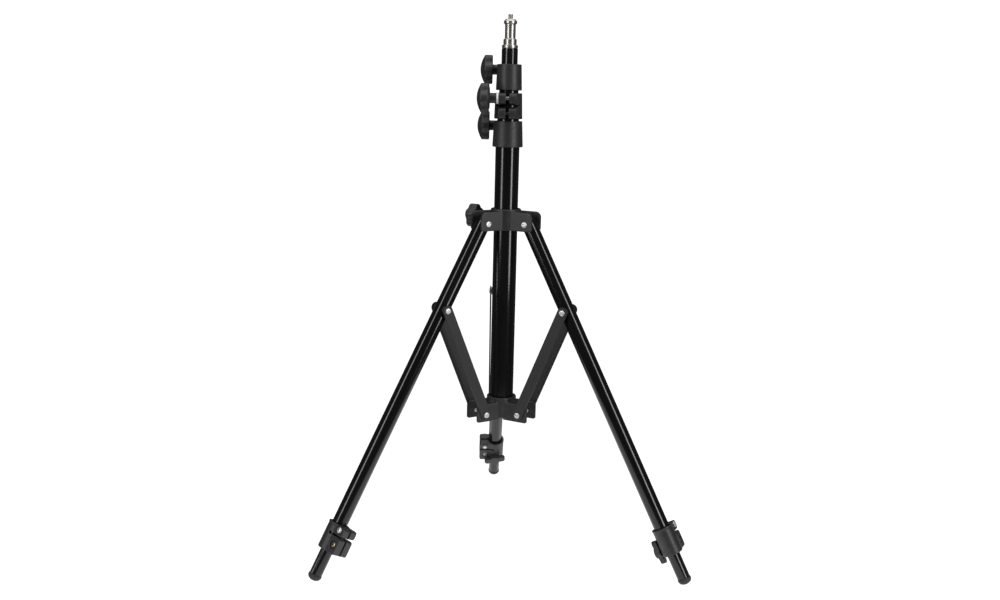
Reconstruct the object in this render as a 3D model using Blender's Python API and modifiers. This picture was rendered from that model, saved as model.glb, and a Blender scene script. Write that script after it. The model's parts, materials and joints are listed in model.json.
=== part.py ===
"""A compact tripod stand with a four-stage telescoping column and a 16 mm spigot on top.

Three tube legs hang from a yoke that slides on the column. Each leg is braced by a pair of flat
struts, riveted to a clip on the leg and to a bracket on the column's foot, and holds a thinner
extension tube. The model is in metres with +Z up. Everything is laid out round the column's axis,
and the empty "stand" then moves it so that the origin is the centre of the footprint.
"""

import math

import bmesh
import bpy
from mathutils import Matrix, Vector

MM = 0.001
GAP = 0.3 * MM  # between pieces that touch
PAST = 30 * MM  # how far a cutter reaches, to be past everything near an axis
WELD = 0.001 * MM
ROUND_END = 0.98  # a corner's radius as a share of the half width, just short of a half circle

# Column: tube 1 is the outer, fixed one. Collar 1 sits on top of tube 1 and grips tube 2, and so on.
TUBE_RADII = (15 * MM, 13.5 * MM, 12 * MM, 10 * MM)
TUBE_BOTTOMS = (175.5 * MM, 190 * MM, 204 * MM, 218 * MM)
TUBE_TOPS = (534 * MM, 569 * MM, 604 * MM, 639.6 * MM)
TUBE_WALL = 1 * MM
COLUMN_SIDES = 24
# For each collar: bottom, top, radius at the bottom and at the top, half the width of its lugs,
# the azimuth that its lugs point to, and the side (along the local X) that its knob is on.
COLLARS = (
    (519.7 * MM, 551.6 * MM, 19.1 * MM, 17.7 * MM, 11 * MM, 90, -1),
    (554.2 * MM, 585.8 * MM, 17.6 * MM, 16.6 * MM, 11 * MM, 265, 1),
    (589.0 * MM, 620.6 * MM, 16.2 * MM, 15.1 * MM, 8.5 * MM, 90, -1),
)
COLLAR_SLIT = 2 * MM  # half the width
COLLAR_SLOT = 0.8 * MM  # half the height of the cut between the upper and the lower lugs
COLLAR_SLOT_FROM_AXIS = 8.5 * MM
COLLAR_BOLT = 2.5 * MM
COLLAR_SCREW = 2 * MM
PIN_SUNK = 1.5 * MM
COLLAR_BOLT_BELOW_TOP = 6.5 * MM
COLLAR_SCREW_ABOVE_BOTTOM = 7 * MM
BOLT_BEYOND_WALL = 6 * MM  # from a collar's side to its bolts' axis
LUG_BEYOND_BOLT = 6 * MM
LUG_INSET = 0.4 * MM  # of a clamp's lugs from the ends of its sleeve
LUG_CORNER = 2.5 * MM
BUSH_WALL = 1.5 * MM
BUSH_BELOW = 4 * MM
BUSH_ABOVE = 8 * MM

# Spigot, from the column's top: radius and height above the floor of each step
SPIGOT_SEAT = 640 * MM
STUD_TOP = 680.6 * MM
STUD_RADIUS = 3.1 * MM
FLANGE_TOP = 674.8 * MM
SPIGOT_FLANGE_RADIUS = 8.2 * MM
SPIGOT_RADIUS = 6.6 * MM
SPIGOT_PLUG = 12 * MM
SPIGOT_SEAT_RADIUS = 9.9 * MM

# Knobs
KNOB_RADIUS = 18.2 * MM
KNOB_RIM = 10.2 * MM
KNOB_DEPTH = 15.2 * MM
KNOB_HOLLOW = 3.2 * MM
KNOB_LOBES = 5
KNOB_SHAFT_RADIUS = 6.3 * MM
KNOB_SHAFT = 9 * MM
KNOB_WASHER = 2.4 * MM
YOKE_KNOB_RADIUS = 15.2 * MM
YOKE_KNOB_RIM = 12 * MM
YOKE_KNOB_DEPTH = 15 * MM
YOKE_KNOB_HOLLOW = 2.6 * MM
YOKE_KNOB_SHAFT = 5.7 * MM

# Legs and fold
LEG_AZIMUTHS = {"rear": 90, "left": 210, "right": 330}
LEG_SPLAY = 28.4  # degrees from the column
YOKE_PIVOT = (33.3 * MM, 425.3 * MM)  # radius and height
CLIP_BELOW_YOKE = 119 * MM  # along the leg
BRACKET_PIVOT = (31.5 * MM, 180.3 * MM)
LEG_RADIUS = 9.7 * MM
EXTENSION_RADIUS = 8 * MM
LEG_SIDES = 20
LEG_ABOVE_YOKE_PIVOT = 8 * MM
LEG_LOWER_END = 58 * MM  # along the leg, from the tip of the foot
EXTENSION_ENDS = (8.2 * MM, 345 * MM)
CLAMP_ENDS = (40.5 * MM, 75 * MM)
CLAMP_RADIUS = 12.8 * MM
CLAMP_LUG_HALF = 11 * MM
CLAMP_LUG_TIP = 23.5 * MM
CLAMP_SLOT = 62.6 * MM
CLAMP_SLOT_FROM_AXIS = 3.4 * MM
CLAMP_SLOT_HALF = 1.1 * MM
CLAMP_BOLTS = ((15.6 * MM, 70.4 * MM), (14.8 * MM, 51.6 * MM))  # from the leg's axis, and along
CLAMP_SLIT = 1.2 * MM
CLAMP_HOLE = 2.3 * MM
THUMB_SCREW = 47 * MM
THUMB_SHANK_RADIUS = 2.5 * MM
CLAMP_TURNS = {"rear": 0, "left": 15, "right": 7}  # degrees about the leg
WING_TURNS = {"rear": 15, "left": 0, "right": 78}  # degrees about the thumb screw
WING_REACH = 15.8 * MM
WING_WIDTH = 8.6 * MM
WING_THICKNESS = 6.2 * MM
WING_HUB_RADIUS = 7 * MM
WING_HUB_PROUD = 1.4 * MM
CLIP_BAND = (-7.2 * MM, 3.6 * MM)  # from the rivet, along the leg
CLIP_WALL = 2.3 * MM
CLIP_BOSS_RADIUS = 6.2 * MM

# Yoke and bracket castings
HUB_RADIUS = 19 * MM
CHEEK_ROOT = 10 * MM  # inside the hub
CHEEK_ROOM = 19.8 * MM  # where the space between two cheeks starts
CHEEK = 2.8 * MM
YOKE_CHEEK = 3.2 * MM
YOKE_GAP = 10.4 * MM  # half the space between a pair of cheeks
YOKE_REACH = 43.4 * MM
YOKE_HUB = (-8.8 * MM, 17.6 * MM)  # this and the next three are heights from the pivots' level
YOKE_CHEEKS = (-8.8 * MM, 15 * MM)
BRACKET_HUB = (-7.5 * MM, 19.2 * MM)
BRACKET_CHEEKS = (-9.8 * MM, 13.7 * MM)
BRACKET_CUP_FLOOR = -5.1 * MM
YOKE_BORE = 15.9 * MM
BRACKET_GAP = 11 * MM
BRACKET_REACH = 44 * MM
BOSS_AZIMUTH = 150
BOSS_END = 33.5 * MM
BOSS_RADIUS = 7.5 * MM
BOSS_LEVEL = 5 * MM  # above the pivots
LOCK_BOLT_RADIUS = 3 * MM
STRUT_THICKNESS = 1.7 * MM
STRUT_WIDTH = 13.4 * MM
RIVET_RADIUS = 2.5 * MM
RIVET_HEAD_RADIUS = 3.9 * MM
RIVET_HEAD = 1.3 * MM
RIVET_HOLE = 3.3 * MM  # in the tubes and struts, with room for the fold's small misfit
SMALL_SIDES = 10
BOSS_SIDES = 16

# Foot cap: radius and distance from its tip, along the leg
FOOT_RADIUS = 8.4 * MM
FOOT_DOME = ((FOOT_RADIUS, 5 * MM), (7 * MM, 2.4 * MM), (4.2 * MM, 0.7 * MM), (0, 0))
FOOT_PLUG_RADIUS = 6.5 * MM
FOOT_PLUG_TOP = 22 * MM

# Colours are linear RGB, then roughness and metallic
FINISHES = {
    "black_gloss_paint": ((0.006, 0.006, 0.007), 0.16, 0.0),
    "charcoal_casting": ((0.045, 0.045, 0.048), 0.5, 0.0),
    "charcoal_plastic": ((0.05, 0.05, 0.053), 0.55, 0.0),
    "black_strut_paint": ((0.03, 0.03, 0.032), 0.45, 0.0),
    "chrome": ((0.75, 0.75, 0.76), 0.12, 1.0),
    "zinc": ((0.7, 0.7, 0.68), 0.3, 1.0),
    "foot_rubber": ((0.05, 0.05, 0.05), 0.7, 0.0),
    "bush_nylon": ((0.75, 0.74, 0.7), 0.5, 0.0),
}

splay = math.radians(LEG_SPLAY)
parts = None
cutters = None


# Scene and materials


def clear_scene():
    for obj in list(bpy.data.objects):
        bpy.data.objects.remove(obj)


def new_collection(name):
    collection = bpy.data.collections.new(name)
    bpy.context.scene.collection.children.link(collection)
    return collection


def make_materials():
    made = {}
    for name, (color, roughness, metallic) in FINISHES.items():
        material = bpy.data.materials.new(name)
        material.use_nodes = True
        shader = material.node_tree.nodes["Principled BSDF"]
        shader.inputs["Base Color"].default_value = (*color, 1)
        shader.inputs["Roughness"].default_value = roughness
        shader.inputs["Metallic"].default_value = metallic
        made[name] = material
    return made


# Modelling helpers. Each makes one object at the origin.


def object_from(bm, name):
    mesh = bpy.data.meshes.new(name)
    bmesh.ops.recalc_face_normals(bm, faces=bm.faces)
    bm.to_mesh(mesh)
    bm.free()
    obj = bpy.data.objects.new(name, mesh)
    parts.objects.link(obj)
    return obj


def box(low, high):
    bm = bmesh.new()
    bmesh.ops.create_cube(bm, size=1)
    low, high = Vector(low), Vector(high)
    size = high - low
    bmesh.ops.scale(bm, vec=size, verts=bm.verts)
    bmesh.ops.translate(bm, vec=(low + high) / 2, verts=bm.verts)
    return object_from(bm, "box")


def cylinder(radius, start, end, sides, top_radius=None):
    """A cylinder, or a cone, round the line from start to end."""
    start, end = Vector(start), Vector(end)
    bm = bmesh.new()
    bmesh.ops.create_cone(
        bm,
        cap_ends=True,
        segments=sides,
        radius1=radius,
        radius2=radius if top_radius is None else top_radius,
        depth=(end - start).length,
    )
    turn = (end - start).to_track_quat("Z", "Y").to_matrix().to_4x4()
    bmesh.ops.transform(bm, matrix=Matrix.Translation((start + end) / 2) @ turn, verts=bm.verts)
    return object_from(bm, "cylinder")


def turned(profile, sides):
    """A profile of (radius, height) points, down the outer side, spun round Z."""
    bm = bmesh.new()
    verts = [bm.verts.new((radius, 0, height)) for radius, height in profile]
    for first, second in zip(verts, verts[1:]):
        bm.edges.new((first, second))
    if profile[0][0] > 0 and profile[-1][0] > 0:
        bm.edges.new((verts[-1], verts[0]))
    mesh = bpy.data.meshes.new("turned")
    bm.to_mesh(mesh)
    bm.free()
    obj = bpy.data.objects.new("profile", mesh)
    parts.objects.link(obj)
    screw = obj.modifiers.new("Screw", "SCREW")
    screw.steps = sides
    screw.render_steps = sides
    screw.use_merge_vertices = True
    screw.merge_threshold = 0.00001
    return as_mesh_object(obj, "turned", WELD)


def as_mesh_object(obj, name, weld=0.0):
    """The evaluated shape of the object as a new mesh object, in place of it and its cutters."""
    bpy.context.view_layer.update()
    graph = bpy.context.evaluated_depsgraph_get()
    mesh = bpy.data.meshes.new_from_object(obj.evaluated_get(graph))
    bm = bmesh.new()
    bm.from_mesh(mesh)
    if weld:
        bmesh.ops.remove_doubles(bm, verts=bm.verts, dist=weld)
        bmesh.ops.recalc_face_normals(bm, faces=bm.faces)
    # A Boolean can drop a sliver of no area from a flat face, which leaves a hairline open.
    hairlines = [edge for edge in bm.edges if edge.is_boundary]
    if hairlines:
        bmesh.ops.holes_fill(bm, edges=hairlines, sides=4)
    bm.to_mesh(mesh)
    bm.free()
    used = [modifier.object for modifier in obj.modifiers if modifier.type == "BOOLEAN"]
    made = bpy.data.objects.new(name, mesh)
    made.matrix_world = obj.matrix_world
    parts.objects.link(made)
    for old in used + [obj]:
        bpy.data.objects.remove(old)
    made.name = name
    return made


def plate(corners, half_thickness):
    """A flat plate in the XZ plane. Each corner is (x, z, radius of its rounding)."""
    curve = bpy.data.curves.new("outline", "CURVE")
    curve.dimensions = "2D"
    curve.fill_mode = "BOTH"
    curve.extrude = half_thickness
    points = rounded(corners)
    spline = curve.splines.new("POLY")
    spline.points.add(len(points) - 1)
    for point, (x, z) in zip(spline.points, points):
        point.co = (x, z, 0, 1)
    spline.use_cyclic_u = True
    obj = bpy.data.objects.new("outline", curve)
    parts.objects.link(obj)
    made = as_mesh_object(obj, "plate", WELD)
    made.data.transform(Matrix.Rotation(math.pi / 2, 4, "X"))
    return made


def rounded(corners, steps=3):
    """The outline through the corners, with an arc at each one that has a radius."""
    points = []
    for index, (x, z, radius) in enumerate(corners):
        here = Vector((x, z))
        if not radius:
            points.append(tuple(here))
            continue
        before = (Vector(corners[index - 1][:2]) - here).normalized()
        after = (Vector(corners[(index + 1) % len(corners)][:2]) - here).normalized()
        half = before.angle(after) / 2
        centre = here + (before + after).normalized() * radius / math.sin(half)
        start = here + before * radius / math.tan(half) - centre
        end = here + after * radius / math.tan(half) - centre
        turn = start.angle_signed(end)
        for step in range(steps + 1):
            arm = start.copy()
            arm.rotate(Matrix.Rotation(-turn * step / steps, 2))
            points.append(tuple(centre + arm))
    return points


def combine(target, other, operation):
    """Cuts the other object from the target, or joins it on."""
    for collection in other.users_collection:
        collection.objects.unlink(other)
    cutters.objects.link(other)
    other.hide_render = True
    other.display_type = "WIRE"
    modifier = target.modifiers.new(operation.title(), "BOOLEAN")
    modifier.operation = operation
    modifier.object = other


def cut(target, other):
    combine(target, other, "DIFFERENCE")


def join(target, other):
    combine(target, other, "UNION")


def turn_about_column(obj, azimuth):
    obj.matrix_world = Matrix.Rotation(math.radians(azimuth), 4, "Z") @ obj.matrix_world


def finish(obj, material, parent, matrix=None):
    """Gives a piece its material and its place under the empty that it moves with."""
    obj.data.materials.clear()
    obj.data.materials.append(material)
    obj.data.shade_smooth()
    obj.data.set_sharp_from_angle(angle=math.radians(35))
    obj.parent = parent
    obj.matrix_parent_inverse.identity()
    obj.matrix_basis = matrix or Matrix.Identity(4)
    return obj


def copy_of(obj, name):
    """Another object with the same mesh."""
    made = bpy.data.objects.new(name, obj.data)
    parts.objects.link(made)
    return made


def repeated(name, shape, places, material):
    """One object per place, all with the shape's mesh. A place is (suffix, parent, matrix)."""
    for index, (suffix, parent, matrix) in enumerate(places):
        obj = shape if index == 0 else copy_of(shape, f"{name}_{suffix}")
        obj.name = f"{name}_{suffix}"
        finish(obj, material, parent, matrix)


def empty(name, parent=None, matrix=None):
    made = bpy.data.objects.new(name, None)
    made.empty_display_size = 0.02
    parts.objects.link(made)
    made.parent = parent
    made.matrix_basis = matrix or Matrix.Identity(4)
    return made


# Shared shapes


def tube(radius, bottom, top, wall, sides):
    inner = radius - wall
    return turned([(radius, top), (radius, bottom), (inner, bottom), (inner, top)], sides)


def rivet(half_length, tail_length, tail_head):
    """A rivet along Y with a domed head at half_length, out to -tail_length."""
    edge = RIVET_HEAD_RADIUS * 0.7
    profile = [
        (0, half_length + RIVET_HEAD),
        (edge, half_length + RIVET_HEAD * 0.8),
        (RIVET_HEAD_RADIUS, half_length + RIVET_HEAD * 0.2),
        (RIVET_HEAD_RADIUS, half_length),
        (RIVET_RADIUS, half_length),
        (RIVET_RADIUS, -tail_length),
    ]
    if tail_head:
        profile += [
            (RIVET_HEAD_RADIUS, -tail_length),
            (RIVET_HEAD_RADIUS, -tail_length - RIVET_HEAD * 0.2),
            (edge, -tail_length - RIVET_HEAD * 0.8),
            (0, -tail_length - RIVET_HEAD),
        ]
    else:
        profile += [(0, -tail_length)]
    made = turned(profile, SMALL_SIDES)
    made.data.transform(Matrix.Rotation(-math.pi / 2, 4, "X"))
    return made


def lobed_radius(angle, radius, depth):
    return radius - depth * (0.5 - 0.5 * math.cos(KNOB_LOBES * angle)) ** 1.5


def knob(radius, depth, rim, dome, shaft):
    """A lobed grip with a domed face, its axis along +X from the shaft's end at the origin.

    depth is that of the hollows between the lobes; rim and dome are the grip's thickness at its
    edge and at its middle.
    """
    around = KNOB_LOBES * 5
    rings = (
        (shaft, 0.94),
        (shaft + 0.08 * rim, 1.0),
        (shaft + 0.88 * rim, 1.0),
        (shaft + rim, 0.93),
        (shaft + rim + 0.6 * (dome - rim), 0.62),
    )
    bm = bmesh.new()
    loops = []
    for height, scale in rings:
        loop = []
        for step in range(around):
            angle = 2 * math.pi * step / around
            reach = scale * lobed_radius(angle, radius, depth)
            loop.append(bm.verts.new((height, reach * math.sin(angle), reach * math.cos(angle))))
        loops.append(loop)
    for lower, upper in zip(loops, loops[1:]):
        for step in range(around):
            after = (step + 1) % around
            bm.faces.new((lower[step], lower[after], upper[after], upper[step]))
    tip = bm.verts.new((shaft + dome, 0, 0))
    for step in range(around):
        bm.faces.new((loops[-1][step], loops[-1][(step + 1) % around], tip))
    bm.faces.new(loops[0])
    grip = object_from(bm, "grip")
    join(grip, cylinder(KNOB_SHAFT_RADIUS, (0, 0, 0), (shaft + rim / 2, 0, 0), SMALL_SIDES + 4))
    return as_mesh_object(grip, "knob")


def split_clamp(ends, radii, upper_bore, lower_bore, shoulder, lug, slit, slot, holes, sides):
    """A sleeve round Z with two pairs of lugs along +Y, slit down their middle.

    lug is (half width, tip); holes are (radius, y, z), bored along X; slot is (height, how near the
    axis it reaches, half its width) of the cut between the upper pair, which grips one tube, and
    the lower pair, which grips the other.
    """
    bottom, top = ends
    half, tip = lug
    body = cylinder(radii[0], (0, 0, bottom), (0, 0, top), sides, top_radius=radii[1])
    lug_bottom, lug_top = bottom + LUG_INSET, top - LUG_INSET
    outline = [
        (0, lug_bottom, 0),
        (tip, lug_bottom, LUG_CORNER),
        (tip, lug_top, LUG_CORNER),
        (0, lug_top, 0),
    ]
    lugs = plate(outline, half)
    lugs.data.transform(Matrix.Rotation(math.pi / 2, 4, "Z"))
    join(body, lugs)
    past = 2 * MM
    side = half + past
    upper = [(0, top + past), (upper_bore, top + past), (upper_bore, shoulder)]
    lower = [(lower_bore, shoulder), (lower_bore, bottom - past), (0, bottom - past)]
    cut(body, turned(upper + lower, sides))
    cut(body, box((-slit, 0, bottom - past), (slit, tip + past, top + past)))
    level, inner, slot_half = slot
    reach = max(side, radii[0] + past)
    cut(body, box((-reach, inner, level - slot_half), (reach, tip + past, level + slot_half)))
    for radius, y, z in holes:
        cut(body, cylinder(radius, (-side, y, z), (side, y, z), SMALL_SIDES))
    return body


# Sub-parts


def make_column(stand, finish_of):
    for index, (radius, bottom, top) in enumerate(zip(TUBE_RADII, TUBE_BOTTOMS, TUBE_TOPS)):
        made = tube(radius, bottom, top, TUBE_WALL, COLUMN_SIDES)
        made.name = f"column_tube_{index + 1}"
        finish(made, finish_of["black_gloss_paint"], stand)
        if index:
            bush = guide_bush(radius, TUBE_RADII[index - 1], bottom)
            bush.name = f"guide_bush_{index + 1}"
            finish(bush, finish_of["bush_nylon"], stand)


def guide_bush(radius, outer_tube_radius, tube_bottom):
    """A ring plugged into the lower end of an inner tube, which centres it in the outer one."""
    flange = outer_tube_radius - TUBE_WALL - GAP
    plug = radius - TUBE_WALL - GAP
    bore = plug - BUSH_WALL
    face = tube_bottom - GAP
    lower = face - BUSH_BELOW
    upper = face + BUSH_ABOVE
    profile = [(plug, upper), (plug, face), (flange, face), (flange, lower), (bore, lower)]
    return turned(profile + [(bore, upper)], LEG_SIDES)


def make_spigot(stand, finish_of):
    """A steel spigot with a 1/4 inch stud, plugged into the innermost tube."""
    plug = TUBE_RADII[3] - TUBE_WALL - GAP
    steps = (
        (0, STUD_TOP),
        (STUD_RADIUS - 0.5 * MM, STUD_TOP),
        (STUD_RADIUS, STUD_TOP - 0.6 * MM),
        (STUD_RADIUS, FLANGE_TOP),
        (5.6 * MM, FLANGE_TOP),
        (SPIGOT_FLANGE_RADIUS, FLANGE_TOP - 2.8 * MM),
        (SPIGOT_FLANGE_RADIUS, FLANGE_TOP - 5.6 * MM),
        (SPIGOT_RADIUS, FLANGE_TOP - 6.4 * MM),
        (SPIGOT_RADIUS, SPIGOT_SEAT + 11.4 * MM),
        (SPIGOT_FLANGE_RADIUS, SPIGOT_SEAT + 10.4 * MM),
        (SPIGOT_FLANGE_RADIUS, SPIGOT_SEAT + 3.6 * MM),
        (SPIGOT_SEAT_RADIUS, SPIGOT_SEAT + 3.6 * MM),
        (SPIGOT_SEAT_RADIUS, SPIGOT_SEAT),
        (plug, SPIGOT_SEAT),
        (plug, SPIGOT_SEAT - SPIGOT_PLUG),
        (0, SPIGOT_SEAT - SPIGOT_PLUG),
    )
    made = turned(steps, LEG_SIDES)
    made.name = "spigot"
    finish(made, finish_of["chrome"], stand)


def make_collars(stand, finish_of):
    for index, (bottom, top, low_radius, top_radius, half, azimuth, side) in enumerate(COLLARS):
        number = index + 1
        bolt_y = (low_radius + top_radius) / 2 + BOLT_BEYOND_WALL
        bolt_z = top - COLLAR_BOLT_BELOW_TOP
        screw_z = bottom + COLLAR_SCREW_ABOVE_BOTTOM
        body = split_clamp(
            (bottom, top),
            (low_radius, top_radius),
            TUBE_RADII[index + 1] + GAP,
            TUBE_RADII[index] + GAP,
            (bottom + top) / 2,
            (half, bolt_y + LUG_BEYOND_BOLT),
            COLLAR_SLIT,
            ((bottom + top) / 2, COLLAR_SLOT_FROM_AXIS, COLLAR_SLOT),
            ((COLLAR_BOLT + GAP, bolt_y, bolt_z), (COLLAR_SCREW + GAP, bolt_y, screw_z)),
            COLUMN_SIDES,
        )
        turned_frame = Matrix.Rotation(math.radians(azimuth - 90), 4, "Z")
        made = as_mesh_object(body, f"column_collar_{number}")
        finish(made, finish_of["charcoal_plastic"], stand, turned_frame)

        # The knob's bolt and the lower screw pass both lugs, and end sunk in their outer faces.
        reach = half + KNOB_WASHER + GAP
        flip = Matrix.Rotation(math.pi, 4, "Z") if side < 0 else Matrix.Identity(4)
        axis = turned_frame @ Matrix.Translation((0, bolt_y, bolt_z))
        grip = knob(KNOB_RADIUS, KNOB_HOLLOW, KNOB_RIM, KNOB_DEPTH, KNOB_SHAFT)
        grip.name = f"collar_knob_{number}"
        quarter = Matrix.Rotation(math.pi / 2, 4, "X")
        place = axis @ flip @ Matrix.Translation((reach, 0, 0)) @ quarter
        finish(grip, finish_of["charcoal_plastic"], stand, place)
        far_end = half - PIN_SUNK
        knob_bolt = cylinder(COLLAR_BOLT, (-far_end, 0, 0), (reach - GAP, 0, 0), SMALL_SIDES)
        knob_bolt.name = f"collar_bolt_{number}"
        finish(knob_bolt, finish_of["zinc"], stand, axis @ flip)
        axis = turned_frame @ Matrix.Translation((0, bolt_y, screw_z))
        screw = cylinder(COLLAR_SCREW, (-far_end, 0, 0), (far_end, 0, 0), SMALL_SIDES)
        screw.name = f"collar_screw_{number}"
        finish(screw, finish_of["zinc"], stand, axis)


def hub_and_cheeks(hub_heights, cheek_heights, reach, gap, cheek, corner_top, corner_bottom):
    """A hub with three pairs of cheeks, in which the heights count from the pivots' level."""
    hub_bottom, hub_top = hub_heights
    cheek_bottom, cheek_top = cheek_heights
    hub = cylinder(HUB_RADIUS, (0, 0, hub_bottom), (0, 0, hub_top), COLUMN_SIDES)
    outline = [
        (CHEEK_ROOT, cheek_bottom, 0),
        (reach, cheek_bottom, corner_bottom),
        (reach, cheek_top, corner_top),
        (CHEEK_ROOT, cheek_top, 0),
    ]
    for azimuth in LEG_AZIMUTHS.values():
        arm = plate(outline, gap + cheek)
        turn_about_column(arm, azimuth)
        join(hub, arm)
    for azimuth in LEG_AZIMUTHS.values():
        room = box((CHEEK_ROOM, -gap, cheek_bottom - MM), (reach + MM, gap, hub_top + MM))
        turn_about_column(room, azimuth)
        cut(hub, room)
    return hub


def rivet_hole(radius, azimuth):
    """A cutter along the cheeks' pivot, on one of the three sides."""
    hole = cylinder(RIVET_RADIUS + GAP, (radius, -PAST, 0), (radius, PAST, 0), SMALL_SIDES)
    turn_about_column(hole, azimuth)
    return hole


def make_yoke(frame, origin, finish_of):
    """The sliding yoke, which carries the legs, with its lock knob and the leg rivets."""
    radius = YOKE_PIVOT[0]
    yoke = hub_and_cheeks(YOKE_HUB, YOKE_CHEEKS, YOKE_REACH, YOKE_GAP, YOKE_CHEEK, 7 * MM, 3 * MM)
    boss = cylinder(BOSS_RADIUS, (YOKE_BORE, 0, BOSS_LEVEL), (BOSS_END, 0, BOSS_LEVEL), BOSS_SIDES)
    turn_about_column(boss, BOSS_AZIMUTH)
    join(yoke, boss)
    cut(yoke, cylinder(YOKE_BORE, (0, 0, -PAST), (0, 0, PAST), COLUMN_SIDES))
    for azimuth in LEG_AZIMUTHS.values():
        cut(yoke, rivet_hole(radius, azimuth))
    start = (YOKE_BORE - 5 * MM, 0, BOSS_LEVEL)
    hole = cylinder(LOCK_BOLT_RADIUS + GAP, start, (PAST + BOSS_END, 0, BOSS_LEVEL), SMALL_SIDES)
    turn_about_column(hole, BOSS_AZIMUTH)
    cut(yoke, hole)
    made = as_mesh_object(yoke, "leg_yoke")
    finish(made, finish_of["charcoal_casting"], frame, origin)

    outer = YOKE_GAP + YOKE_CHEEK + GAP
    shape = rivet(outer, outer, True)
    places = []
    for side, azimuth in LEG_AZIMUTHS.items():
        turn = Matrix.Rotation(math.radians(azimuth), 4, "Z")
        places.append((side, frame, origin @ turn @ Matrix.Translation((radius, 0, 0))))
    repeated("yoke_rivet", shape, places, finish_of["zinc"])

    turn = Matrix.Rotation(math.radians(BOSS_AZIMUTH), 4, "Z")
    level = Matrix.Translation((0, 0, BOSS_LEVEL))
    grip = knob(
        YOKE_KNOB_RADIUS, YOKE_KNOB_HOLLOW, YOKE_KNOB_RIM, YOKE_KNOB_DEPTH, YOKE_KNOB_SHAFT
    )
    grip.name = "yoke_knob"
    half_lobe = Matrix.Rotation(math.pi / KNOB_LOBES, 4, "X")
    place = origin @ turn @ level @ Matrix.Translation((BOSS_END + GAP, 0, 0)) @ half_lobe
    finish(grip, finish_of["charcoal_plastic"], frame, place)
    # The bolt's point stays clear of the column through the whole fold.
    point = YOKE_BORE
    neck = LOCK_BOLT_RADIUS - MM
    shank = [(0, BOSS_END), (LOCK_BOLT_RADIUS, BOSS_END), (LOCK_BOLT_RADIUS, point + 0.6 * MM)]
    stud = turned(shank + [(neck, point), (0, point)], SMALL_SIDES)
    stud.data.transform(Matrix.Rotation(math.pi / 2, 4, "Y"))
    stud.name = "yoke_bolt"
    finish(stud, finish_of["zinc"], frame, origin @ turn @ level)


def make_bracket(stand, finish_of):
    """The bracket on the column's foot, with a cup for the tube and ears for the struts."""
    radius, height = BRACKET_PIVOT
    bracket = hub_and_cheeks(
        BRACKET_HUB, BRACKET_CHEEKS, BRACKET_REACH, BRACKET_GAP, CHEEK, 5 * MM, 3 * MM
    )
    cup = cylinder(TUBE_RADII[0] + GAP, (0, 0, BRACKET_CUP_FLOOR), (0, 0, PAST), COLUMN_SIDES)
    cut(bracket, cup)
    for azimuth in LEG_AZIMUTHS.values():
        cut(bracket, rivet_hole(radius, azimuth))
    made = as_mesh_object(bracket, "lower_bracket")
    finish(made, finish_of["charcoal_casting"], stand, Matrix.Translation((0, 0, height)))

    # One short rivet through each ear and its strut, because the leg folds in between the ears.
    outer = BRACKET_GAP + CHEEK + STRUT_THICKNESS + 2 * GAP
    shape = rivet(outer, -BRACKET_GAP + 0.6 * MM, False)
    places = []
    for side, azimuth in LEG_AZIMUTHS.items():
        turn = Matrix.Rotation(math.radians(azimuth), 4, "Z")
        at = Matrix.Translation((0, 0, height)) @ turn @ Matrix.Translation((radius, 0, 0))
        places.append((f"{side}_a", stand, at))
        places.append((f"{side}_b", stand, at @ Matrix.Rotation(math.pi, 4, "Z")))
    repeated("strut_rivet", shape, places, finish_of["zinc"])


def make_struts(frames, length, finish_of):
    """Two flat bars a leg, outside the bracket's ears and the leg's clip."""
    half = STRUT_WIDTH / 2
    ends = (-half, length + half)
    corners = [(-half, ends[0]), (half, ends[0]), (half, ends[1]), (-half, ends[1])]
    bar = plate([(x, z, half * ROUND_END) for x, z in corners], STRUT_THICKNESS / 2)
    for z in (0, length):
        cut(bar, cylinder(RIVET_HOLE, (0, -3 * MM, z), (0, 3 * MM, z), SMALL_SIDES))
    bar = as_mesh_object(bar, "bar")
    offset = BRACKET_GAP + CHEEK + GAP + STRUT_THICKNESS / 2
    places = []
    for side, frame in frames.items():
        for letter, sign in (("a", 1), ("b", -1)):
            places.append((f"{side}_{letter}", frame, Matrix.Translation((0, sign * offset, 0))))
    repeated("strut", bar, places, finish_of["black_strut_paint"])


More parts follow.
